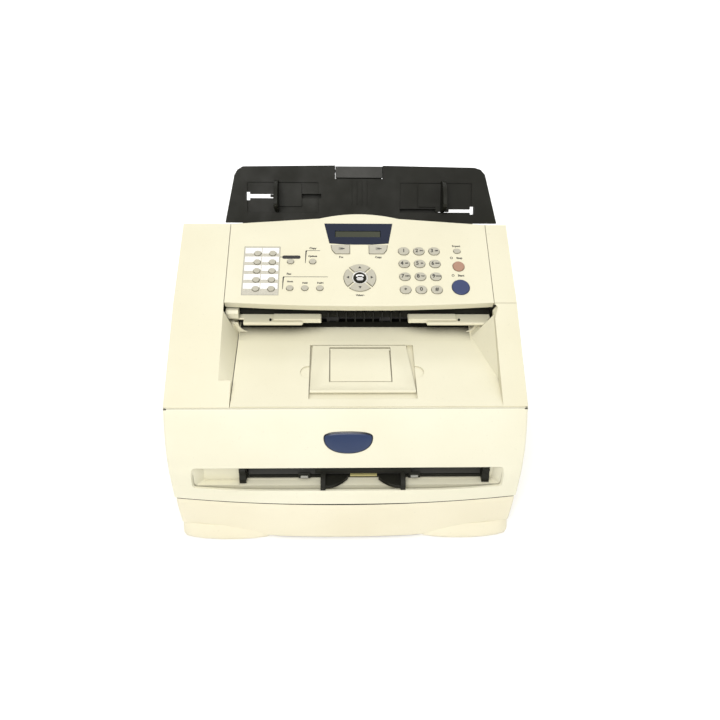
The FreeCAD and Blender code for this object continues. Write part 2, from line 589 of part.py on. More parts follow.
def document_tray():
    foot = prism("XY", [(-122, -18), (152, -18), (152, 1), (-122, 1)], -4, 0)
    plate = prism("XY", [(-142.6, 0), (180.8, 0), (165.3, 56.7), (160, 62.5), (152.4, 64.8), (46.5, 66.4),
                         (-15, 66.4), (-120.4, 64.8), (-127, 61), (-130.8, 54.8)], "-tray_thick", 0)
    notch = prism("XY", [(-12.4, 51.3), (43.9, 51.3), (43.9, 80), (-12.4, 80)], -20, 5)
    beds = [box(-116, -32, 12, 46.8, -1.6, 5), box(64.6, 150, 12, 46.8, -1.6, 5)]
    slots = [box(x0, x1, t0, t1, "-tray_thick - 5", 5)
             for x0, x1, t0, t1 in ((-116, -29, 28.5, 33.5), (-117.5, -113, 26, 36),
                                    (64.5, 152.7, 12.8, 16.7), (148.5, 153.5, 10.5, 20))]
    bearings = [rod("X", (x, "leaf_pin_len", "leaf_pin_depth"), 1.9, 6) for x in (-18, 43)]
    node("document_tray", cut(fuse(foot, plate), notch, *beds, *slots, *bearings), TRAY)
    end = box(-12, 43.5, 52.6, 65.6, -9.5, -1.6)
    leaf = box(-11.2, 42.5, 6, 60, -11.6, -9.4)
    axle = rod("X", (-16.6, "leaf_pin_len", "leaf_pin_depth"), 1.8, 64)
    node("tray_extension", fuse(end, leaf, axle), TRAY)
    for side, fence_x, wing, slot in (("left", -81, 1, 31), ("right", 115, -1, 14.8)):
        inner = fence_x + wing * 29
        low, high = min(fence_x, inner), max(fence_x, inner)
        base = box(low, high, 19, 46, -1.3, 0.4)
        fence_points = [(12, 0.2), (49, 0.2), (48.5, 6), (45, 12.5), (38, 19), (29, 24), (20, 26.5),
                        (17, 24), (14, 12)]
        fence = prism("YZ", fence_points, fence_x - 1.8, fence_x + 1.8)
        peg = box(fence_x - 8, fence_x + 8, slot - 1.6, slot + 1.6, -4.5, 0.2)
        bridge = box(fence_x - 8, fence_x + 8, min(slot - 1.6, 20), max(slot + 1.6, 24), -1.3, 0.4)
        node(f"document_guide_{side}", fuse(base, fence, peg, bridge), TRAY)


def inner_machine():
    """The print engine and electronics inside the body."""
    cradle = prism("YZ", [(-138, 94), (-138, 128), (-96, 150), (-28, 150), (-28, 84), (-92, 84)], -112, 142)
    cavity = prism("YZ", [(-134, 96), (-134, 160), (-74, 160), (-74, 96)], -108, 138)
    drum_gap = box(-108, 138, -72, -32, 88, 160)
    node("drum_unit", cut(cradle, cavity, drum_gap))
    toner = [(-132, 98), (-132, 124), (-110, 140), (-76, 140), (-76, 98)]
    node("toner_cartridge", prism("YZ", toner, -106, 136))
    node("drum_roller", rod("X", (-106, -52, 112), 12, 242))
    node("laser_unit", box(-100, 130, -8, 92, 120, 182))
    node("fuser_unit", cut(box(-118, 148, 108, 164, 96, 156), box(-110, 140, 100, 170, 122, 130)))
    node("pickup_roller", rod("X", (-15, -112, 74), 11, 62))
    shaft = rod("X", (-117, -23.5, 194.2), 2.5, 255)
    rollers = [rod("X", (x, -23.5, 194.2), 5.5, 14) for x in (-72, -22, 38, 88)]
    node("exit_roller", fuse(shaft, *rollers))
    node("main_board", box(-168, -166.4, -110, 140, 78, 176))
    node("rubber_feet", group(*[rod("Z", (x, y, 0), 9, 5) for x in (-168, 168) for y in (-130, 160)]))


left_side_cover()
right_side_cover()
top_cover()
support_flap()
base_chassis()
rear_cover()
rear_door()
rear_sockets()
front_cover()
node("front_badge", badge_plate())
manual_feed()
cassette()
control_panel()
display()
keys()
document_exit()
document_tray()
inner_machine()

doc.recompute()
for thing in doc.Objects:
    if "Invalid" in thing.State or "Error" in thing.State:
        raise RuntimeError(f"{thing.Label} failed: {thing.State}")
os.makedirs("parts", exist_ok=True)
for piece in nodes:
    shape = piece.Shape
    if shape.isNull() or not shape.isValid() or not shape.Solids:
        raise RuntimeError(f"{piece.Label} is not a valid solid")
    if len(shape.Solids) == 1:
        shape = shape.Solids[0]
    shape.exportStep(f"parts/{piece.Label}.step")
    print(piece.Label, len(piece.Shape.Solids), round(shape.Volume), shape.BoundBox)
print(len(nodes), "sub-parts")
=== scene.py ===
import math

import bmesh
import bpy
from mathutils import Matrix, Vector


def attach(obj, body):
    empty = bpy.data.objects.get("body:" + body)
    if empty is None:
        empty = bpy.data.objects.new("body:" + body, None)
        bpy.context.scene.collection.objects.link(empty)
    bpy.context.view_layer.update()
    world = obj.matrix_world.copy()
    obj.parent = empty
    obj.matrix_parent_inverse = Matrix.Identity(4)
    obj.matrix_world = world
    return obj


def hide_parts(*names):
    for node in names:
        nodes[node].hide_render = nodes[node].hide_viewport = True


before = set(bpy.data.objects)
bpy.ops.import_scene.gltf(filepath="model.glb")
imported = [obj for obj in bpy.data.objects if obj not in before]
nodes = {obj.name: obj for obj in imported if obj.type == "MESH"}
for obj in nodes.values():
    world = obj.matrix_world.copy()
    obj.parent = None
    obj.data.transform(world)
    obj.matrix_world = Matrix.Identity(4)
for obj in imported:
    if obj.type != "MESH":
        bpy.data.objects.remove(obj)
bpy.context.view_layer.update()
scene = bpy.context.scene

# Outlines and heights below are in millimetres, and MM turns them into metres.
MM = 0.001
PAPER_X = 15.3  # middle of the paper's path
WELD_GAP = 0.005 * MM
FLAT_ANGLE = math.radians(0.6)


def leaning(y, z, slope):
    """A frame at (y, z) in metres that rises towards the rear by a slope in degrees."""
    return Matrix.Translation((0, y, z)) @ Matrix.Rotation(math.radians(slope), 4, "X")


PANEL = leaning(-0.045, 0.2286, 23.35)
TRAY = leaning(0.074, 0.262, 60)
FLOOR = leaning(-0.141, 0.1723, 10)  # the output tray's floor
# an outline in (x, z) carried towards the front, and one in (y, z) carried along X
XZ_TO_WORLD = Matrix.Rotation(math.radians(90), 4, "X")
YZ_TO_WORLD = Matrix(((0, 0, 1, 0), (1, 0, 0, 0), (0, 1, 0, 0), (0, 0, 0, 1)))


# ---------------------------------------------------------------- materials

GRAIN = 1500


def shader(name):
    """A new material with its node tree and its surface shader."""
    material = bpy.data.materials.new(name)
    material.use_nodes = True
    tree = material.node_tree
    return material, tree, tree.nodes["Principled BSDF"]


def noise(tree, place, scale, detail=3.0, roughness=0.5):
    texture = tree.nodes.new("ShaderNodeTexNoise")
    texture.inputs["Scale"].default_value = scale
    texture.inputs["Detail"].default_value = detail
    texture.inputs["Roughness"].default_value = roughness
    tree.links.new(place, texture.inputs["Vector"])
    return texture.outputs["Fac"]


def remap(tree, value, low, high, start=0.35, end=0.65):
    change = tree.nodes.new("ShaderNodeMapRange")
    for socket, number in (("From Min", start), ("From Max", end), ("To Min", low), ("To Max", high)):
        change.inputs[socket].default_value = number
    tree.links.new(value, change.inputs["Value"])
    return change.outputs["Result"]


def blend_colours(tree, factor, first, second):
    mix = tree.nodes.new("ShaderNodeMix")
    mix.data_type = "RGBA"
    for socket, colour in ((6, first), (7, second)):
        if isinstance(colour, tuple):
            mix.inputs[socket].default_value = (*colour, 1)
        else:
            tree.links.new(colour, mix.inputs[socket])
    tree.links.new(factor, mix.inputs[0])
    return mix.outputs[2]


def moulded(name, colour, aged, rough=0.42, depth=0.05, spread=0.10, painted_shade=None, edge=0.5, shine=0.4,
            reach=5, shade_strength=0.55):
    """Moulded plastic: fine spark-erosion grain, patchy ageing, uneven gloss, and painted shade in its corners
    and seams.

    depth of the grain, rounding of the edge and reach of the painted corner shade are in millimetres; the last
    argument sets the strength of that painted shade.
    """
    material, tree, surface = shader(name)
    place = tree.nodes.new("ShaderNodeTexCoord").outputs["Object"]
    patches = remap(tree, noise(tree, place, 9, 4), 0, 1)
    tint = blend_colours(tree, patches, colour, aged)
    specks = remap(tree, noise(tree, place, 420, 2), 0, 0.25, 0.66, 0.78)
    dull = tuple(0.72 * part for part in aged)
    tint = blend_colours(tree, specks, tint, dull)
    if painted_shade:
        # painted shade: ambient occlusion darkens the colour in corners, seams and under nearby parts, where
        # shade falls
        crevice = tree.nodes.new("ShaderNodeAmbientOcclusion")
        crevice.samples = 6
        crevice.inputs["Distance"].default_value = reach * MM
        tint = blend_colours(tree, remap(tree, crevice.outputs["AO"], shade_strength, 0, 0.1, 0.75), tint, painted_shade)
    tree.links.new(tint, surface.inputs["Base Color"])
    surface.inputs["Specular IOR Level"].default_value = shine
    gloss = remap(tree, noise(tree, place, 38, 5, 0.6), rough - spread / 2, rough + spread / 2)
    tree.links.new(gloss, surface.inputs["Roughness"])
    rounding = tree.nodes.new("ShaderNodeBevel")
    rounding.samples = 4
    rounding.inputs["Radius"].default_value = edge * MM
    bump = tree.nodes.new("ShaderNodeBump")
    bump.inputs["Strength"].default_value = 0.5
    bump.inputs["Distance"].default_value = depth * MM
    tree.links.new(noise(tree, place, GRAIN, 3, 0.6), bump.inputs["Height"])
    tree.links.new(rounding.outputs["Normal"], bump.inputs["Normal"])
    tree.links.new(bump.outputs["Normal"], surface.inputs["Normal"])
    return material


def ink(name, colour):
    """Screen-printed ink, a little uneven."""
    material, tree, surface = shader(name)
    place = tree.nodes.new("ShaderNodeTexCoord").outputs["Object"]
    paler = tuple(min(1, part * 1.25 + 0.01) for part in colour)
    tint = blend_colours(tree, remap(tree, noise(tree, place, 900, 3), 0, 1), colour, paler)
    tree.links.new(tint, surface.inputs["Base Color"])
    tree.links.new(remap(tree, noise(tree, place, 200), 0.4, 0.6), surface.inputs["Roughness"])
    return material


def steel(name, colour, rough):
    """Brushed sheet steel, its lines along X."""
    material, tree, surface = shader(name)
    place = tree.nodes.new("ShaderNodeTexCoord").outputs["Object"]
    stretch = tree.nodes.new("ShaderNodeMapping")
    stretch.inputs["Scale"].default_value = (0.02, 1, 1)
    tree.links.new(place, stretch.inputs["Vector"])
    lines = noise(tree, stretch.outputs["Vector"], 2600, 4)
    surface.inputs["Base Color"].default_value = (*colour, 1)
    surface.inputs["Metallic"].default_value = 1
    tree.links.new(remap(tree, lines, rough - 0.08, rough + 0.08), surface.inputs["Roughness"])
    return material


def circuit_board():
    """Green solder mask over faint copper tracks."""
    material, tree, surface = shader("circuit_board")
    place = tree.nodes.new("ShaderNodeTexCoord").outputs["Object"]
    tracks = tree.nodes.new("ShaderNodeTexBrick")
    tracks.inputs["Scale"].default_value = 220
    tracks.inputs["Color1"].default_value = (0.02, 0.16, 0.06, 1)
    tracks.inputs["Color2"].default_value = (0.03, 0.21, 0.08, 1)
    tracks.inputs["Mortar"].default_value = (0.08, 0.30, 0.12, 1)
    tree.links.new(place, tracks.inputs["Vector"])
    tree.links.new(tracks.outputs["Color"], surface.inputs["Base Color"])
    tree.links.new(remap(tree, noise(tree, place, 90), 0.25, 0.4), surface.inputs["Roughness"])
    return material


CREAM_TINTS = ((0.715, 0.685, 0.525), (0.685, 0.65, 0.485))
# painted shade: the colour the cream casing takes on in its corners and seams
CREAM_CORNER_SHADE = (0.31, 0.28, 0.19)
CREAM = moulded("casing", *CREAM_TINTS, painted_shade=CREAM_CORNER_SHADE)
# the floor under the exit plates, with painted shade that darkens it towards them
EXIT_FLOOR = moulded("exit_floor", *CREAM_TINTS, painted_shade=(0.03, 0.028, 0.02), reach=22, shade_strength=1.3)
FRONT_CREAM = moulded("front_casing", (0.735, 0.715, 0.57), (0.705, 0.68, 0.53), painted_shade=CREAM_CORNER_SHADE)
YELLOWED = moulded("cassette_casing", (0.745, 0.70, 0.54), (0.715, 0.665, 0.50), painted_shade=(0.31, 0.27, 0.18))
KEY = moulded("key_plastic", (0.47, 0.45, 0.37), (0.43, 0.41, 0.33), rough=0.36, edge=0.7,
              painted_shade=(0.12, 0.11, 0.08))
DARK = moulded("dark_plastic", (0.012, 0.012, 0.009), (0.017, 0.017, 0.013), rough=0.5, depth=0.08,
               spread=0.16, shine=0.12)
SOFT_GREY = moulded("grey_plastic", (0.030, 0.030, 0.026), (0.038, 0.037, 0.032), rough=0.45, depth=0.08,
                    shine=0.2)
BLUE = moulded("blue_plastic", (0.012, 0.0165, 0.034), (0.015, 0.020, 0.040), rough=0.32, depth=0.01,
               shine=0.2)
START_BLUE = moulded("start_blue", (0.038, 0.052, 0.122), (0.043, 0.058, 0.138), rough=0.36, edge=0.8,
                     shine=0.3)
ROSE = moulded("stop_rose", (0.355, 0.205, 0.142), (0.39, 0.23, 0.165), rough=0.36, edge=0.8, shine=0.3)
BADGE_RIM = moulded("badge_rim", (0.008, 0.010, 0.018), (0.012, 0.014, 0.022), rough=0.25, depth=0.01)
BADGE_FACE = moulded("badge_face", (0.022, 0.037, 0.088), (0.028, 0.045, 0.104), rough=0.24, depth=0.006,
                     spread=0.05, shine=0.3)
SCREEN = moulded("liquid_crystal", (0.040, 0.043, 0.026), (0.050, 0.053, 0.033), rough=0.2, depth=0.002,
                 shine=0.3)
RUBBER = moulded("roller_rubber", (0.030, 0.030, 0.029), (0.045, 0.044, 0.042), rough=0.72, depth=0.12)
PALE_RUBBER = moulded("pale_roller", (0.34, 0.34, 0.31), (0.28, 0.28, 0.25), rough=0.6, depth=0.1)
PAPER_GUIDE = moulded("yellow_guide", (0.52, 0.47, 0.20), (0.46, 0.41, 0.17), rough=0.45)
DRUM = moulded("drum_coating", (0.03, 0.16, 0.13), (0.035, 0.18, 0.15), rough=0.15, depth=0.002)
FRAME_PLASTIC = moulded("frame_plastic", (0.30, 0.30, 0.29), (0.26, 0.26, 0.25), rough=0.55)
STEEL = steel("bright_steel", (0.62, 0.62, 0.60), 0.32)
BOARD = circuit_board()
BLACK_INK = ink("black_ink", (0.012, 0.011, 0.010))
GREY_INK = ink("grey_ink", (0.24, 0.23, 0.19))
WHITE_CARD = ink("white_card", (0.74, 0.74, 0.73))
LABEL_BAND = ink("label_band", (0.44, 0.42, 0.35))


# ---------------------------------------------------------------- mesh tools

def piece(name, mesh_data, material, body, smooth=True):
    """Turn a bmesh into an object that rides on a body."""
    bmesh.ops.recalc_face_normals(mesh_data, faces=mesh_data.faces)
    mesh = bpy.data.meshes.new(name)
    mesh_data.to_mesh(mesh)
    mesh_data.free()
    thing = bpy.data.objects.new(name, mesh)
    scene.collection.objects.link(thing)
    mesh.materials.append(material)
    if smooth:
        mesh.shade_smooth()
        mesh.set_sharp_from_angle(angle=math.radians(32))
    if body:
        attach(thing, body)
    return thing


def ease_edges(thing, width, segments=3, angle=28):
    """Round the sharp edges of an object."""
    bevel = thing.modifiers.new("Eased", "BEVEL")
    bevel.width = width * MM
    bevel.segments = segments
    bevel.limit_method = "ANGLE"
    bevel.angle_limit = math.radians(angle)
    bevel.use_clamp_overlap = True
    bevel.harden_normals = True


def settle(thing):
    """Apply an object's modifiers."""
    graph = bpy.context.evaluated_depsgraph_get()
    graph.update()
    mesh = bpy.data.meshes.new_from_object(thing.evaluated_get(graph))
    thing.modifiers.clear()
    thing.data = mesh


def carve(thing, tool, operation="DIFFERENCE"):
    """Cut one object with another, or join them, and drop the tool."""
    change = thing.modifiers.new("Carve", "BOOLEAN")
    change.operation = operation
    change.solver = "EXACT"
    change.object = tool
    settle(thing)
    bpy.data.objects.remove(tool)


def bridge(made, rings, closed=True):
    """Faces between neighbouring rings of points, or between open rows of them."""
    for near, far in zip(rings, rings[1:]):
        for i in range(len(near) if closed else len(near) - 1):
            j = (i + 1) % len(near)
            made.faces.new((near[i], near[j], far[j], far[i]))


def slab(corners, low, high, matrix=Matrix()):
    """A plate between two heights, with a closed outline of (x, y) corners in millimetres."""
    made = bmesh.new()
    floor = [made.verts.new(matrix @ Vector((x * MM, y * MM, low * MM))) for x, y in corners]
    roof = [made.verts.new(matrix @ Vector((x * MM, y * MM, high * MM))) for x, y in corners]
    made.faces.new(floor[::-1])
    made.faces.new(roof)
    bridge(made, [floor, roof])
    return made


def oval(x, y, width, height, steps=10):
    """Outline of a slot shape with half-round ends."""
    radius = height / 2
    reach = width / 2 - radius
    turns = [math.pi * (k / steps - 0.5) for k in range(steps + 1)]
    right = [(x + reach + radius * math.cos(t), y + radius * math.sin(t)) for t in turns]
    left = [(x - reach - radius * math.cos(t), y - radius * math.sin(t)) for t in turns]
    return right + left


def rounded_box(x0, x1, y0, y1, radius, steps=4):
    """Outline of a rectangle with round corners."""
    outline = []
    for cx, cy, start in ((x1 - radius, y1 - radius, 0), (x0 + radius, y1 - radius, 90),
                          (x0 + radius, y0 + radius, 180), (x1 - radius, y0 + radius, 270)):
        for k in range(steps + 1):
            turn = math.radians(start + 90 * k / steps)
            outline.append((cx + radius * math.cos(turn), cy + radius * math.sin(turn)))
    return outline


def curve_through(points, t):
    """A smooth curve through (t, value) points, kept free of overshoot."""
    for i in range(len(points) - 1):
        if t <= points[i + 1][0] or i == len(points) - 2:
            break
    slopes = []
    for k in (i, i + 1):
        before, after = points[max(k - 1, 0)], points[min(k + 1, len(points) - 1)]
        slopes.append((after[1] - before[1]) / (after[0] - before[0]))
    (t0, v0), (t1, v1) = points[i], points[i + 1]
    span = t1 - t0
    u = min(max((t - t0) / span, 0), 1)
    return ((2 * u ** 3 - 3 * u ** 2 + 1) * v0 + (u ** 3 - 2 * u ** 2 + u) * span * slopes[0]
            + (3 * u ** 2 - 2 * u ** 3) * v1 + (u ** 3 - u ** 2) * span * slopes[1])


# ---------------------------------------------------------------- CAD nodes that keep their shape

def free_normals(mesh):
    """Drop the normals that came with a CAD mesh, so that eased edges shade smoothly."""
    if "custom_normal" in mesh.attributes:
        mesh.attributes.remove(mesh.attributes["custom_normal"])


def weld(thing):
    """Join the points that a CAD mesh repeats along its edges."""
    change = thing.modifiers.new("Weld", "WELD")
    change.merge_threshold = WELD_GAP


def flatten(thing):
    """Clear the triangles inside flat faces, so that only true edges are eased."""
    change = thing.modifiers.new("Flatten", "DECIMATE")
    change.decimate_type = "DISSOLVE"
    change.angle_limit = FLAT_ANGLE


def dress(name, material, width=0.6, segments=3):
    """Give a CAD node its material and ease its moulded edges."""
    thing = nodes[name]
    mesh = thing.data
    mesh.materials.clear()
    mesh.materials.append(material)
    free_normals(mesh)
    mesh.shade_smooth()
    weld(thing)
    flatten(thing)
    ease_edges(thing, width, segments)


def dress_cad_nodes():
    """Materials and eased edges for the CAD nodes that the picture shows as they are."""
    for name in ("left_side_cover", "right_side_cover", "top_cover", "rear_cover", "rear_door"):
        dress(name, CREAM, 1.6 if "side" in name else 0.8, 4)
    dress("control_panel_cover", CREAM, 1.2, 4)
    dress("support_flap", CREAM, 0.5)
    dress("support_flap_inner", CREAM, 0.5)
    dress("document_exit_plates", CREAM, 0.7)
    for name in ("manual_feed_slot", "cassette_tray", "scanner_frame", "drum_unit", "toner_cartridge",
                 "laser_unit", "fuser_unit", "rear_sockets", "power_rocker", "nav_centre_key"):
        dress(name, DARK, 0.4)
    dress("document_tray", DARK, 1.3, 4)
    dress("tray_extension", SOFT_GREY, 0.9)
    dress("display_bezel", BLUE, 0.4)
    for name in nodes:
        if name.startswith(("dial_key", "mode_key", "memory", "report")):
            dress(name, KEY, 0.7, 4)
        elif name.startswith("nav_") and name != "nav_centre_key":
            dress(name, KEY, 0.7, 4)
        elif name.endswith("_roller") and name != "drum_roller":
            dress(name, RUBBER, 0.5)
    dress("start_key", START_BLUE, 1.0, 4)
    dress("stop_key", ROSE, 0.9, 4)
    dress("drum_roller", DRUM, 0.4)
    dress("rubber_feet", RUBBER, 0.8)
    dress("base_chassis", FRAME_PLASTIC, 0.5)
    dress("cassette_lift_plate", STEEL, 0.2)
    dress("panel_board", BOARD, 0.1)
    dress("main_board", BOARD, 0.1)


# ---------------------------------------------------------------- front cover and cassette front

HALF = 187.0  # half of the body's width, and of its depth
BOW = 11.3
SEAM_Y = -150.7  # the seam behind the front cover
COVER_LOW, COVER_HIGH = 62, 170.1
SLOT_LEFT, SLOT_RIGHT, SLOT_LOW, SLOT_HIGH = -115.3, 154.7, 79.6, 100.5
CASSETTE_REAR, CASSETTE_TOP, CASSETTE_WALL = -152.5, 60, 3
# the front cover's face in its middle, as (z, y)
COVER_PROFILE = [(62, -187), (80, -184.4), (105, -175.8), (125, -171.9), (138, -167.6), (150, -162.5),
                 (161, -156.9), (168, -152.6), (170.1, -151.1)]


def bow(x):
    """How the front face draws back from the middle to the sides."""
    return -HALF + BOW * (x / HALF) ** 2


def softer_max(a, b, reach=1.0):
    """The larger of two values, with the crease between them rounded."""
    gap = (a - b) / reach
    return max(a, b) + reach * math.log1p(math.exp(-abs(gap)))


def plan_outline(front, rear, half, radius, across=60):
    """Plan of a front moulding: side wall, round corner, face, round corner, side wall."""
    deep = rear - front(half)
    radius = min(radius, 0.8 * deep)
    centre_y = front(half - radius) + radius
    left = [(-half, rear + (centre_y - rear) * k / 3) for k in range(3)]
    for k in range(7):
        turn = math.radians(90 * k / 6)
        left.append((-half + radius * (1 - math.cos(turn)), centre_y - radius * math.sin(turn)))
    inner = half - radius
    steps = [-inner + 2 * inner * k / across for k in range(1, across)]
    return left + [(x, front(x)) for x in steps] + [(-x, y) for x, y in reversed(left)]


def shell(rows, wall, rear):
    """A thin moulding from plan outlines at several heights, open towards the rear."""
    made = bmesh.new()
    skins = []
    for inset in (0, wall):
        grid = []
        for z, front in rows(inset):
            outline = plan_outline(front, rear, HALF - inset, 2.6)
            grid.append([made.verts.new((x * MM, y * MM, z * MM)) for x, y in outline])
        skins.append(grid)
    outer, inner = skins
    for grid in skins:
        bridge(made, grid, closed=False)
    # rims along the rear edges, then the closed bottom and top
    for side in (0, -1):
        for k in range(len(outer) - 1):
            made.faces.new((outer[k][side], outer[k + 1][side], inner[k + 1][side], inner[k][side]))
    for end in (0, -1):
        for i in range(len(outer[end]) - 1):
            made.faces.new((outer[end][i], outer[end][i + 1], inner[end][i + 1], inner[end][i]))
    return made


def front_cover():
    """The cover as a thin bowed moulding, with its lining, feed pocket, slot and badge recess."""
    def rows(inset, count=36):
        for k in range(count + 1):
            z = COVER_LOW + (COVER_HIGH - COVER_LOW) * k / count
            yield z, lambda x, z=z: softer_max(curve_through(COVER_PROFILE, z), bow(x)) + inset

    cover = piece("front_cover_skin", shell(rows, 2.5, SEAM_Y), FRONT_CREAM, None)
    plan = plan_outline(lambda x: bow(x) + 1, SEAM_Y - 0.1, HALF - 1, 2)
    plate = piece("plate", slab(plan, COVER_LOW + 0.4, COVER_LOW + 3), FRONT_CREAM, None)
    carve(cover, plate, "UNION")
    box = [(-168, -174.5), (170, -174.5), (170, -158), (-168, -158)]
    lining = piece("lining", slab(box, 72, 111), FRONT_CREAM, None)
    carve(cover, lining, "UNION")
    carve(cover, scoop())
    box = [(SLOT_LEFT, -176), (SLOT_RIGHT, -176), (SLOT_RIGHT, -140), (SLOT_LEFT, -140)]
    carve(cover, piece("slot", slab(box, SLOT_LOW, SLOT_HIGH), FRONT_CREAM, None))
    room = slab(badge_outline(BADGE_GAP), -150, 180, XZ_TO_WORLD)
    carve(cover, piece("badge_room", room, FRONT_CREAM, None))
    cover.data.shade_smooth()
    ease_edges(cover, 0.8, 3, 35)
    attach(cover, "cover")
    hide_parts("front_cover")


def seam_shadows():
    """Dark strips that paint the shade in the gaps above and below the front cover, and dark pieces that paint
    the shaded notches at its upper corners.
    """
    # painted shadow: dark blocks in the notches at the cover's upper corners
    for side, x in (("left", -185.2), ("right", 185.2)):
        outline = rounded_box(x - 1.6, x + 1.6, -151.9, -150.0, 0.5)
        notch = piece(f"seam_notch_shadow_{side}", slab(outline, 166.2, 169.9), DARK, "body")
    # painted shadow: dark strips in the seams below and above the cover, where only shade lies
    outline = plan_outline(lambda x: bow(x) + 0.7, SEAM_Y, HALF - 1.6, 2.4)
    low = piece("seam_shadow_low", slab(outline, CASSETTE_TOP + 0.2, COVER_LOW - 0.1), DARK, "body")
    outline = rounded_box(-185.5, 185.5, -151.3, -149.9, 0.4)
    top = piece("seam_shadow_top", slab(outline, 165, COVER_HIGH - 0.05), DARK, "body")


def scoop():
    """The pocket in front of the manual feed slot: wide at the face, narrower inside."""
    made = bmesh.new()
    rings = []
    for y, x0, x1, z0, z1, radius in ((-190, -168, 173, 81.5, 109, 3.5),
                                      (-176.5, -163.5, 167, 80.6, 107.5, 3),
                                      (-166, -153, 158, 79.3, 105, 2)):
        outline = rounded_box(x0, x1, z0, z1, radius)
        rings.append([made.verts.new((x * MM, y * MM, z * MM)) for x, z in outline])
    bridge(made, rings)
    made.faces.new(rings[0][::-1])
    made.faces.new(rings[-1])
    return piece("scoop", made, FRONT_CREAM, None)


BADGE_X, BADGE_Z, BADGE_GAP = 1.6, 142.0, 0.25


def badge_outline(grow):
    """A squashed oval with a flattened top and slightly pointed sides."""
    outline = []
    for k in range(56):
        turn = 2 * math.pi * k / 56
        high = math.sin(turn) > 0
        power = 0.62 if high else 0.95
        reach = (6.6 if high else 16.6) + grow
        across = math.copysign(abs(math.cos(turn)) ** (0.8 if high else 0.92), math.cos(turn))
        rise = math.copysign(abs(math.sin(turn)) ** power, math.sin(turn))
        outline.append((BADGE_X + (25.4 + grow) * across, BADGE_Z + reach * rise))
    return outline


def badge():
    """A plain two-tone badge that follows the cover's curve."""
    crown_z = BADGE_Z - 3
    for name, grow, proud, material in (("badge_rim", 0, 0.9, BADGE_RIM),
                                        ("badge_face", -1.0, 1.3, BADGE_FACE)):
        made = bmesh.new()
        rings = []
        # share of the way out from the crown, and how far the surface drops there
        for share, drop in ((0.001, 0.0), (0.35, 0.0), (0.7, 0.02), (0.92, 0.15), (1.0, 0.7), (1.0, 2.2)):
            ring = []
            for outline_x, outline_z in badge_outline(grow):
                x = BADGE_X + (outline_x - BADGE_X) * share
                z = crown_z + (outline_z - crown_z) * share
                y = curve_through(COVER_PROFILE, z) - proud + drop
                ring.append(made.verts.new((x * MM, y * MM, z * MM)))
            rings.append(ring)
        bridge(made, rings)
        made.faces.new(rings[-1])
        bmesh.ops.remove_doubles(made, verts=made.verts, dist=0.02 * MM)
        plate = piece(name, made, material, "cover")
        if name == "badge_rim":
            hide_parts("front_badge")


def manual_guides():
    """The two sliding paper guides in the manual feed slot: a fence and a curved wing."""
    for side, body, outer, far in ((1, "manual_guide_left", -27.8, 1.6),
                                   (-1, "manual_guide_right", 62.9, 35)):
        wing = [(outer, -182.2), (outer + side * 5.5, -182.6)]
        for k in range(9):
            u = k / 8
            wing.append((outer + side * (6.5 + 22 * u), -182.0 + 12.5 * u ** 1.9))
        wing += [(far, -167.2), (outer, -167.2)]
        base = piece(body + "_wing", slab(wing, 82.0, 86.6), DARK, None)
        profile = [(-184.0, 81.6), (-184.0, 85.5), (-181.5, 89.5), (-176, 93), (-166.5, 94.5), (-166.5, 81.6)]
        x0, x1 = sorted((outer, outer + side * 5.2))
        fence = piece("fence", slab(profile, x0, x1, YZ_TO_WORLD), DARK, None)
        carve(base, fence, "UNION")
        ease_edges(base, 0.5, 3)
        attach(base, body)
        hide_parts(body)


def slot_fittings():
    """What shows inside the manual feed slot: a grey chute, end blocks, a bar and the light rollers."""
    profile = [(-164.4, 81.4), (-163.6, 81.4), (-154, 93.5), (-154, 94.6), (-155.2, 94.6)]
    chute = piece("manual_chute", slab(profile, SLOT_LEFT + 9, SLOT_RIGHT - 8.5, YZ_TO_WORLD), SOFT_GREY,
                  "cover")
    ease_edges(chute, 0.2, 2)
    profile = [(-172.4, 80.2), (-172.4, 86), (-169.5, 90), (-169.5, 96), (-166, 99), (-162, 99), (-162, 80.2)]
    for name, x0, x1 in (("left", SLOT_LEFT + 0.3, SLOT_LEFT + 7.4),
                         ("right", SLOT_RIGHT - 8.3, SLOT_RIGHT - 0.3)):
        block = piece(f"slot_end_{name}", slab(profile, x0, x1, YZ_TO_WORLD), DARK, "cover")
        ease_edges(block, 0.5, 3)
    profile = [(-169.8, 92.4), (-169.8, 99.6), (-165.2, 99.6), (-165.2, 94.4)]
    bar = piece("slot_bar", slab(profile, -34, 69, YZ_TO_WORLD), DARK, "cover")
    ease_edges(bar, 0.7, 3)
    outline = rounded_box(4, 33, -166.9, -163.6, 0.4)
    strip = piece("paper_strip", slab(outline, 84.6, 86.2), PAPER_GUIDE, "cover")
    profile = [(-167.2, 82.2), (-167.2, 88.4), (-165.4, 89.6), (-165.4, 82.2)]
    for name, x in (("left", -45.5), ("right", 73.5)):
        window = piece(f"roller_window_{name}", slab(profile, x - 6.5, x + 6.5, YZ_TO_WORLD), DARK, "cover")
        ease_edges(window, 0.5, 2)
        wheel = bmesh.new()
        place = Matrix.Translation((x * MM, -167.6 * MM, 85.0 * MM)) @ Matrix.Rotation(math.radians(90), 4, "Y")
        bmesh.ops.create_cone(wheel, cap_ends=True, segments=28, radius1=1.5 * MM, radius2=1.5 * MM,
                              depth=8 * MM, matrix=place)
        roll = piece(f"guide_wheel_{name}", wheel, PALE_RUBBER, "cover")
        ease_edges(roll, 0.5, 3)


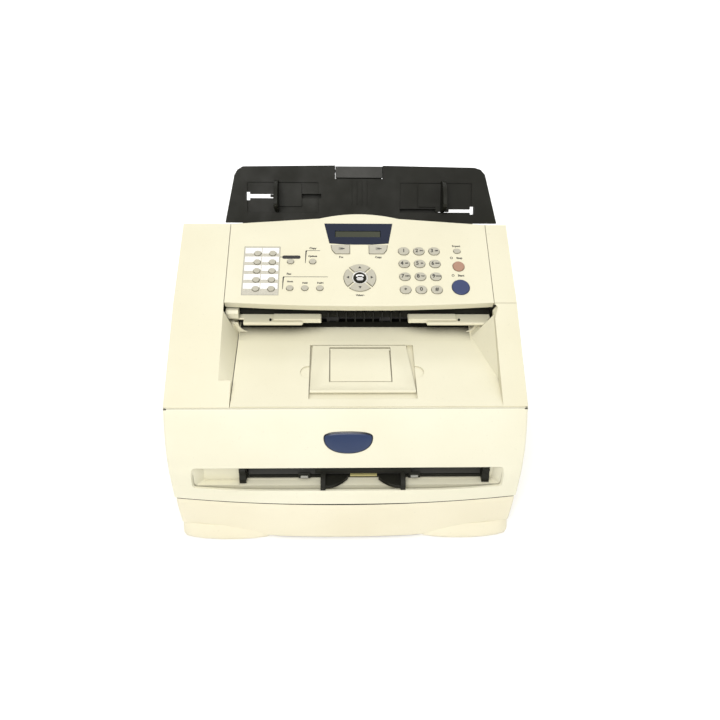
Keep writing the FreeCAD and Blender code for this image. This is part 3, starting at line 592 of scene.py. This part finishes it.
def cassette_front():
    """The cassette's front: a bowed face whose lower edge climbs to the sides over recessed feet."""
    def lower_edge(x):
        reach = max(abs(x) - 74, 0) / 84
        return 3.4 + 14.5 * min(reach, 1) ** 1.35

    made = bmesh.new()
    outer_plan = plan_outline(bow, CASSETTE_REAR, HALF - 1, 4, 72)
    inner_plan = plan_outline(lambda x: bow(x) + CASSETTE_WALL, CASSETTE_REAR, HALF - 1 - CASSETTE_WALL, 3, 72)
    skins = []
    for plan, inset in ((outer_plan, 0), (inner_plan, CASSETTE_WALL)):
        grid = []
        for k in range(15):
            share = k / 14
            ring = []
            for x, y in plan:
                low = lower_edge(x)
                z = low + (CASSETTE_TOP - inset - low) * share
                draft = 1.6 * (1 - share) ** 2
                crown = 1.2 * max(0, (share - 0.86) / 0.14) ** 2
                ring.append(made.verts.new((x * (1 - (draft + crown) / 400) * MM,
                                            min(y + draft + crown, CASSETTE_REAR) * MM, z * MM)))
            grid.append(ring)
        skins.append(grid)
        bridge(made, grid, closed=False)
    outer, inner = skins
    for side in (0, -1):
        for k in range(len(outer) - 1):
            made.faces.new((outer[k][side], outer[k + 1][side], inner[k + 1][side], inner[k][side]))
    bridge(made, [outer[0], inner[0]], closed=False)
    made.faces.new(outer[-1])
    made.faces.new(inner[-1])
    made.faces.new((outer[-1][0], outer[-1][-1], inner[-1][-1], inner[-1][0]))
    face = piece("cassette_face", made, YELLOWED, "cassette")
    ease_edges(face, 0.7, 3, 40)
    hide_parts("cassette_front")
    plan = [(76, -166), (80, -177), (90, -181.5), (104, -183.6), (120, -184.6), (140, -184.6), (158, -183.4),
            (172, -181.2), (181, -178.6), (184.6, -174.5), (185.2, -153.5), (76, -153.5)]
    for name, side in (("left", -1), ("right", 1)):
        foot = bmesh.new()
        rings = []
        for z, inset, proud in ((0.4, 1.6, 0.6), (1.2, 0.4, 1.4), (3, 0, 1.3), (7, 0, 0.6), (12, 0.2, -1.6),
                                (18.5, 0.6, -4.4)):
            ring = []
            for x, y in plan:
                shown = 1 if y < -160 else 0
                ring.append(foot.verts.new((side * (x - inset * (x - 140) / 50) * MM,
                                            (y + shown * (inset - proud)) * MM, z * MM)))
            rings.append(ring)
        bridge(foot, rings)
        foot.faces.new(rings[0])
        foot.faces.new(rings[-1])
        block = piece(f"cassette_foot_{name}", foot, YELLOWED, "cassette")
        ease_edges(block, 1.0, 3, 40)
    outline = [(-150, -153.4), (150, -153.4), (150, -150.3), (-150, -150.3)]
    back = piece("cassette_back", slab(outline, 8, 54), YELLOWED, "cassette")


# ---------------------------------------------------------------- control panel

# key centres on the panel, and heights above it
DIAL_X = [65.6 + 17.35 * column for column in range(3)]
DIAL_S = [68.8 - 17.4 * row for row in range(4)]
NAV = (PAPER_X, 32.3)
MEMORY = [(x, 65 - 11.9 * row) for x in (-99.4, -82.5) for row in range(5)]
KEY_INK = (1.32, 1.38)
PANEL_INK = (0.0, 0.07)
DIGIT_BASE, CAPTION_BASE = 1.36, 0.03


def printed(name, corners, material, body="panel", layer=PANEL_INK):
    """A flat print on the panel or on a key, between two heights."""
    return piece(name, slab(corners, *layer, PANEL), material, body, smooth=False)


def lettering(name, words, x, s, size, body, height):
    """A generic word or key mark, set flat at a height above the panel."""
    text = bpy.data.curves.new(name, "FONT")
    text.body = words
    text.size = size * MM
    text.align_x = "CENTER"
    text.align_y = "CENTER"
    text.extrude = 0.04 * MM
    text.offset = 0.16 * MM
    mark = bpy.data.objects.new(name, text)
    scene.collection.objects.link(mark)
    mesh = bpy.data.meshes.new_from_object(mark)
    bpy.data.objects.remove(mark)
    mesh.transform(PANEL @ Matrix.Translation((x * MM, s * MM, height * MM)))
    mark = bpy.data.objects.new(name, mesh)
    scene.collection.objects.link(mark)
    mesh.materials.clear()
    mesh.materials.append(BLACK_INK)
    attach(mark, body)


def key_marks():
    """Digits, arrows, the handset and the page symbols on the key caps."""
    for number, mark in enumerate("123456789*0#"):
        row, column = divmod(number, 3)
        drop = 1.0 if mark == "*" else 0
        shift = -2.6 if 0 < number < 9 else 0
        lettering(f"dial_mark_{number + 1}", mark, DIAL_X[column] + shift, DIAL_S[row] - drop, 6.4,
                  f"dial_key_{number + 1}", DIGIT_BASE)
    for turn, side in ((0, "right"), (90, "up"), (180, "left"), (270, "down")):
        ahead = Vector((math.cos(math.radians(turn)), math.sin(math.radians(turn))))
        across = Vector((-ahead.y, ahead.x))
        centre = Vector(NAV) + ahead * 13.2
        base = centre - ahead * 1.2
        tips = [centre + ahead * 1.7, base + across * 1.8, base - across * 1.8]
        printed(f"nav_mark_{side}", [tuple(tip) for tip in tips], BLACK_INK, f"nav_{side}_key", KEY_INK)
    # a plain handset over a page on the centre key
    x, s = NAV
    handset = [(x + dx, s + ds) for dx, ds in ((-4.4, 0.9), (-4.2, 2.6), (-2.4, 3.7), (2.4, 3.7), (4.2, 2.6),
                                               (4.4, 0.9), (2.4, 0.9), (2.0, 1.9), (-2.0, 1.9), (-2.4, 0.9))]
    printed("centre_mark_upper", handset, WHITE_CARD, "nav_centre_key", KEY_INK)
    for row, width in ((0.0, 3.0), (-1.5, 3.9), (-3.0, 3.2)):
        line = rounded_box(x - width, x + width, s + row - 1.0, s + row - 0.1, 0.4)
        printed(f"centre_mark_line_{int(-row * 10)}", line, WHITE_CARD, "nav_centre_key", KEY_INK)
    ring = piece("centre_ring", slab(oval(x, s, 17.6, 17.6, 24), 0.02, 0.25, PANEL), WHITE_CARD, "panel")
    hole = piece("hole", slab(oval(x, s, 15.4, 15.4, 24), -2, 3, PANEL), WHITE_CARD, None)
    carve(ring, hole)
    for side, body in ((-1, "mode_key_left"), (1, "mode_key_right")):
        centre = PAPER_X + side * 21
        page = rounded_box(centre - 2.6, centre + 2.2, 69.6, 73.4, 0.6)
        printed(f"{body}_page", page, GREY_INK, body, KEY_INK)
        arrow = rounded_box(centre - 0.6, centre + 4.2, 70.8, 72.0, 0.4)
        printed(f"{body}_bar", arrow, BLACK_INK, body, (1.38, 1.42))


def captions():
    """Generic function names on the panel, dial letters on the keys, and the stop and start symbols."""
    for name, words, x, s, size in (
            ("word_copy", "Copy", -37.5, 72.6, 3.6), ("word_options", "Options", -37.6, 61.6, 3.0),
            ("word_fax", "Fax", -63.5, 37.4, 3.6), ("word_hook", "Hook", -62.0, 27.2, 2.8),
            ("word_hold", "Hold", -45.5, 25.4, 2.8), ("word_redial", "Redial", -28.6, 25.4, 2.8),
            ("word_mode_fax", "Fax", -5.5, 60.4, 3.4), ("word_mode_copy", "Copy", 36.6, 60.4, 3.4),
            ("word_volume", "Volume", PAPER_X, 9.4, 3.0), ("word_report", "Report", 126, 76.2, 3.2),
            ("word_stop", "Stop", 128.5, 59.6, 3.6), ("word_start", "Start", 128.5, 35.6, 3.6)):
        lettering(name, words, x, s, size, "panel", CAPTION_BASE)
    for number, letters in enumerate(("ABC", "DEF", "GHI", "JKL", "MNO", "PQRS", "TUV", "WXYZ"), 2):
        row, column = divmod(number - 1, 3)
        lettering(f"dial_letters_{number}", letters, DIAL_X[column] + 2.6, DIAL_S[row], 2.0,
                  f"dial_key_{number}", DIGIT_BASE)
    for name, x, s in (("stop", 119.5, 59.8), ("start", 119.6, 35.8)):
        dot = piece(f"{name}_symbol", slab(oval(x, s, 3.2, 3.2), *PANEL_INK, PANEL), BLACK_INK, "panel")
        carve(dot, piece("hole", slab(oval(x, s, 1.9, 1.9), -1, 1, PANEL), BLACK_INK, None))


def label_frame():
    """The name strips beside the one-touch keys."""
    outline = rounded_box(-114.4, -74.6, 9.6, 74.2, 0.8)
    carve_keys(printed("label_plate", outline, LABEL_BAND, "panel", (0.0, 0.10)), MEMORY)
    for k, (x, s) in enumerate(MEMORY):
        left = -113.4 if x < -90 else -94.3
        right = -95.2 if x < -90 else -75.6
        outline = rounded_box(left, right, s + 0.2, s + 7.6, 0.3)
        card = printed(f"name_strip_{k + 1}", outline, WHITE_CARD, "panel", (0.09, 0.16))
        carve_keys(card, [(x, s)])
    for k, points in enumerate(frame_lines()):
        printed(f"label_line_{k + 1}", points, GREY_INK, "panel", (0.09, 0.14))


def frame_lines():
    """Thin lines around the label plate."""
    x0, x1, s0, s1, thick = -114.8, -74.2, 9.2, 74.6, 0.45
    return [[(x0, s0), (x1, s0), (x1, s0 + thick), (x0, s0 + thick)],
            [(x0, s1 - thick), (x1, s1 - thick), (x1, s1), (x0, s1)],
            [(x0, s0), (x0 + thick, s0), (x0 + thick, s1), (x0, s1)],
            [(x1 - thick, s0), (x1, s0), (x1, s1), (x1 - thick, s1)]]


def carve_keys(plate, places):
    """Leave room around the one-touch key caps in a printed plate."""
    for x, s in places:
        carve(plate, piece("tool", slab(oval(x, s, 8.6, 7.4), -2, 3, PANEL), LABEL_BAND, None))


def bracket(name, low_s, corner, far_x, thick=0.9):
    """A printed bracket: a post that tapers away downwards and a thin line to the right."""
    x, s = corner
    post = [(x - thick, low_s), (x - thick * 0.4, low_s), (x + 0.5, s - 2.2), (x + 1.4, s),
            (x - thick + 0.6, s), (x - thick, s - 1.4)]
    printed(name + "_post", post, BLACK_INK)
    printed(name + "_line", [(x + 0.6, s - 0.55), (far_x, s - 0.55), (far_x, s), (x + 0.6, s)], BLACK_INK)


def panel_prints():
    """The brackets over the function keys, and the dark plate by the hook key."""
    bracket("copy_bracket", 52, (-45.0, 69.6), -29.6)
    bracket("fax_bracket", 17, (-69.4, 33.8), -20.4)
    printed("volume_plate", rounded_box(-71.8, -51.2, 57.9, 62.5, 2.1), BLACK_INK)
    printed("volume_tab", [(-75.2, 60.0), (-71.8, 60.0), (-71.8, 60.7), (-75.2, 60.7)], BLACK_INK)


def display():
    """The screen, a little below the frame around it."""
    outline = rounded_box(-12, 39.5, 89, 97.3, 0.5)
    glass = piece("display_glass", slab(outline, -0.9, -0.5, PANEL), SCREEN, "panel")


# ---------------------------------------------------------------- document tray

def document_guides():
    """The two sliding fences on the document tray: a tall curved fin on a flat foot."""
    for side, body, fence_x, slot_t in ((1, "document_guide_left", -81, 31),
                                        (-1, "document_guide_right", 115, 14.8)):
        fin = [(12.6, 0.2), (48.8, 0.2), (48.6, 5)]
        for k in range(11):
            angle = math.radians(90 * k / 10)
            fin.append((20.6 + 27.6 * math.cos(angle), 6 + 20.2 * math.sin(angle)))
        fin += [(17.6, 24.6), (15.4, 17), (13.6, 8)]
        blade = piece(body + "_fence", slab(fin, fence_x - 2.2, fence_x + 2.2, TRAY @ YZ_TO_WORLD), DARK, None)
        low = min(fence_x, fence_x + side * 29)
        outline = rounded_box(low, low + 29, 19, 46, 1.5)
        carve(blade, piece("foot", slab(outline, -1.3, 0.5, TRAY), DARK, None), "UNION")
        outline = rounded_box(fence_x - 8, fence_x + 8, slot_t - 1.6, max(slot_t + 1.6, 24), 1)
        carve(blade, piece("peg", slab(outline, -1.3, 0.45, TRAY), DARK, None), "UNION")
        ease_edges(blade, 0.8, 3)
        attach(blade, body)
        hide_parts(body)


def tray_marks():
    """The low ribs in the middle of the tray."""
    for k, x in enumerate((7.5, 13.5, 19.5, 25.5)):
        outline = rounded_box(x - 0.5, x + 0.5, 21, 50, 0.4)
        rib = piece(f"tray_rib_{k + 1}", slab(outline, 0.0, 0.35, TRAY), DARK, "body")


def rack_covers():
    """The closed channels behind the tray's inner slots, where the guides' racks run."""
    for name, x0, x1, t0, t1 in (("left", -75, -25, 25.5, 36.5), ("right", 62, 111.5, 10, 20)):
        outline = rounded_box(x0, x1, t0, t1, 1)
        cover = piece(f"rack_cover_{name}", slab(outline, -11.4, -8.9, TRAY), DARK, "body")
        ease_edges(cover, 0.6, 2)


# ---------------------------------------------------------------- rear cover

def rear_cover():
    """The rear cover with its air slots and screw wells, cut into a copy of the CAD shape."""
    source = nodes["rear_cover"]
    cover = bpy.data.objects.new("rear_cover_slotted", source.data.copy())
    scene.collection.objects.link(cover)
    cover.matrix_world = source.matrix_world
    free_normals(cover.data)
    weld(cover)
    settle(cover)
    cover.data.materials.clear()
    cover.data.materials.append(CREAM)
    slots = [rounded_box(131, 171, z, z + 2.8, 1.3) for z in range(98, 150, 6)]
    slots += [rounded_box(x, x + 2.8, 158, 176, 1.3) for x in range(-72, 84, 7)]
    screws = [(x, z) for x in (-174, 174) for z in (18, 180)]
    for outline in slots + [oval(x, z, 8.4, 8.4) for x, z in screws]:
        carve(cover, piece("opening", slab(outline, -190, -181, XZ_TO_WORLD), CREAM, None))
    flatten(cover)
    cover.data.shade_smooth()
    ease_edges(cover, 0.6, 3, 35)
    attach(cover, "body")
    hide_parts("rear_cover")
    for k, (x, z) in enumerate(screws):
        outline = oval(x, z, 7.4, 7.4)
        head = piece(f"rear_screw_{k + 1}", slab(outline, -185.4, -183.4, XZ_TO_WORLD), STEEL, None)
        for width, height in ((4.6, 1.1), (1.1, 4.6)):
            cross = rounded_box(x - width / 2, x + width / 2, z - height / 2, z + height / 2, 0.3, 2)
            carve(head, piece("cross", slab(cross, -187, -184.6, XZ_TO_WORLD), STEEL, None))
        ease_edges(head, 0.3, 2)
        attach(head, "body")


# ---------------------------------------------------------------- output bay

def bay_details():
    """Pieces under the control panel: plate lips, catch pins, corner tabs, ribs, painted shade on the floor
    under the plates, and a dark strip that paints the shadowed exit gap.
    """
    for name, block_x, lip_x, pin_x in (("left", (-80.5, -27.9), (-113.0, -48.4), -83.6),
                                        ("right", (69.2, 122.4), (89.6, 158.2), 125.4)):
        outline = rounded_box(*block_x, -48.4, -37, 0.8)
        raised = piece(f"exit_block_{name}", slab(outline, 205.3, 208.2), CREAM, "body")
        ease_edges(raised, 0.7, 3)
        outline = rounded_box(*lip_x, -52.6, -49.4, 1.0)
        lip = piece(f"exit_lip_{name}", slab(outline, 202.9, 206.6), CREAM, "body")
        ease_edges(lip, 0.9, 3)
        pin = piece(f"exit_pin_{name}", slab(oval(pin_x, -46.4, 2.6, 2.6), 205.4, 207.4), DARK, "body")
        ease_edges(pin, 0.3, 2)
    profile = [(-45, 202.2), (-45, 204), (-40, 212), (-34, 212), (-34, 202.2)]
    for k in range(9):
        x = -20 + 10 * k
        rib = piece(f"exit_rib_{k + 1}", slab(profile, x - 0.6, x + 0.6, YZ_TO_WORLD), DARK, "body")
    left, right, front, middle, rear = -118.6, 139, 84, 104.2, 112.4
    # painted shade: a thin sheet on the floor whose colour darkens towards the plates
    outline = rounded_box(left, right, front, middle, 0.3)
    shade = piece("exit_floor", slab(outline, 0.0, 0.05, FLOOR), EXIT_FLOOR, "body")
    # painted shadow: a dark strip on the floor where the exit gap lies in shade
    outline = rounded_box(left, right, middle, rear, 0.3)
    gap_shadow = piece("exit_gap_shadow", slab(outline, 0.0, 0.3, FLOOR), DARK, "body")
    profile = [(-45, 206.6), (-45, 213.5), (-42, 216.4), (-34, 216.4), (-34, 206.6)]
    cheek = piece("bay_cheek", slab(profile, -132.6, -118.5, YZ_TO_WORLD), CREAM, "body")
    ease_edges(cheek, 0.8, 3)
    for name, x, side in (("left", -127.0, 1), ("right", 152.0, -1)):
        points = [(x, 201.5), (x + side * 6, 201.5)]
        for k in range(9):
            turn = math.radians(90 * k / 8)
            points.append((x + side * (20 - 12.5 * math.cos(turn)), 201 - 12.2 * math.sin(turn)))
        points += [(x + side * 20, 187.6), (x, 187.6)]
        tab = piece(f"bay_tab_{name}", slab(points, 43.8, 45.4, XZ_TO_WORLD), CREAM, "body")
        ease_edges(tab, 0.5, 3)


# ---------------------------------------------------------------- studio

# the camera fitted to the photograph: metres, degrees, and millimetres for the lens
CAMERA_PLACE = (-0.006755, -0.672448, 0.654887)
CAMERA_YAW, CAMERA_PITCH, CAMERA_ROLL = 2.108, 38.914, 1.26
LENS, SENSOR = 34.70, 36
WORLD_STRENGTH = 0.46
SUBJECT, BACKDROP = Vector((0, 0, 0.12)), Vector((0, 2.4, 0.3))
# name, place, size, power, colour and target of each lamp
LAMPS = (("key", (-0.30, -1.50, 1.75), 1.1, 38, (1.0, 0.985, 0.965), SUBJECT),
         ("fill", (1.5, -0.6, 1.5), 1.6, 5, (0.97, 0.98, 1.0), SUBJECT),
         ("top", (0.1, 0.7, 2.0), 1.6, 5, (1, 1, 1), SUBJECT),
         ("backdrop", (0.0, 1.4, 1.7), 1.8, 26, (1, 1, 1), BACKDROP))


def studio_floor():
    """A pale floor that curves up behind."""
    half, sweep, start, gap = 3.2, 1.2, 1.6, 0.0002
    made = bmesh.new()
    turns = [math.radians(a) for a in range(0, 91, 9)]
    curve = [(start + sweep * math.sin(a), sweep - sweep * math.cos(a)) for a in turns]
    section = [(-3.0, 0)] + curve + [(start + sweep, 4)]
    bridge(made, [[made.verts.new((x, y, z - gap)) for x in (-half, half)] for y, z in section], closed=False)
    material, tree, surface = shader("studio_floor")
    place = tree.nodes.new("ShaderNodeTexCoord").outputs["Object"]
    patches = remap(tree, noise(tree, place, 2.2, 3), 0, 1)
    tint = blend_colours(tree, patches, (0.98, 0.98, 0.98), (0.96, 0.96, 0.96))
    tree.links.new(tint, surface.inputs["Base Color"])
    surface.inputs["Roughness"].default_value = 0.75
    piece("studio_floor", made, material, None)


def studio_light():
    """Soft light from above and in front, and one lamp for the backdrop."""
    world = bpy.data.worlds.new("studio")
    scene.world = world
    world.use_nodes = True
    sky = world.node_tree.nodes["Background"]
    sky.inputs["Color"].default_value = (1.0, 0.995, 0.98, 1)
    sky.inputs["Strength"].default_value = WORLD_STRENGTH
    for name, place, size, power, colour, target in LAMPS:
        lamp = bpy.data.lights.new(name, "AREA")
        lamp.size = size
        lamp.energy = power
        lamp.color = colour
        light = bpy.data.objects.new(name, lamp)
        light.location = place
        light.rotation_mode = "QUATERNION"
        light.rotation_quaternion = (target - Vector(place)).to_track_quat("-Z", "Y")
        scene.collection.objects.link(light)


def photo_camera():
    """The photograph's camera."""
    lens = bpy.data.cameras.new("camera")
    lens.sensor_width = SENSOR
    lens.lens = LENS
    camera = bpy.data.objects.new("camera", lens)
    scene.collection.objects.link(camera)
    yaw, pitch, roll = math.radians(CAMERA_YAW), math.radians(CAMERA_PITCH), math.radians(CAMERA_ROLL)
    ahead = Vector((math.sin(yaw) * math.cos(pitch), math.cos(yaw) * math.cos(pitch), -math.sin(pitch)))
    right = Vector((math.cos(yaw), -math.sin(yaw), 0))
    up = right.cross(ahead)
    level = math.cos(roll) * right + math.sin(roll) * up
    upright = -math.sin(roll) * right + math.cos(roll) * up
    camera.matrix_world = Matrix((level, upright, -ahead)).transposed().to_4x4()
    camera.location = CAMERA_PLACE
    scene.camera = camera
    scene.view_settings.view_transform = "Standard"


dress_cad_nodes()
front_cover()
seam_shadows()
badge()
manual_guides()
slot_fittings()
cassette_front()
key_marks()
captions()
label_frame()
panel_prints()
display()
document_guides()
tray_marks()
rack_covers()
rear_cover()
bay_details()
studio_floor()
studio_light()
photo_camera()
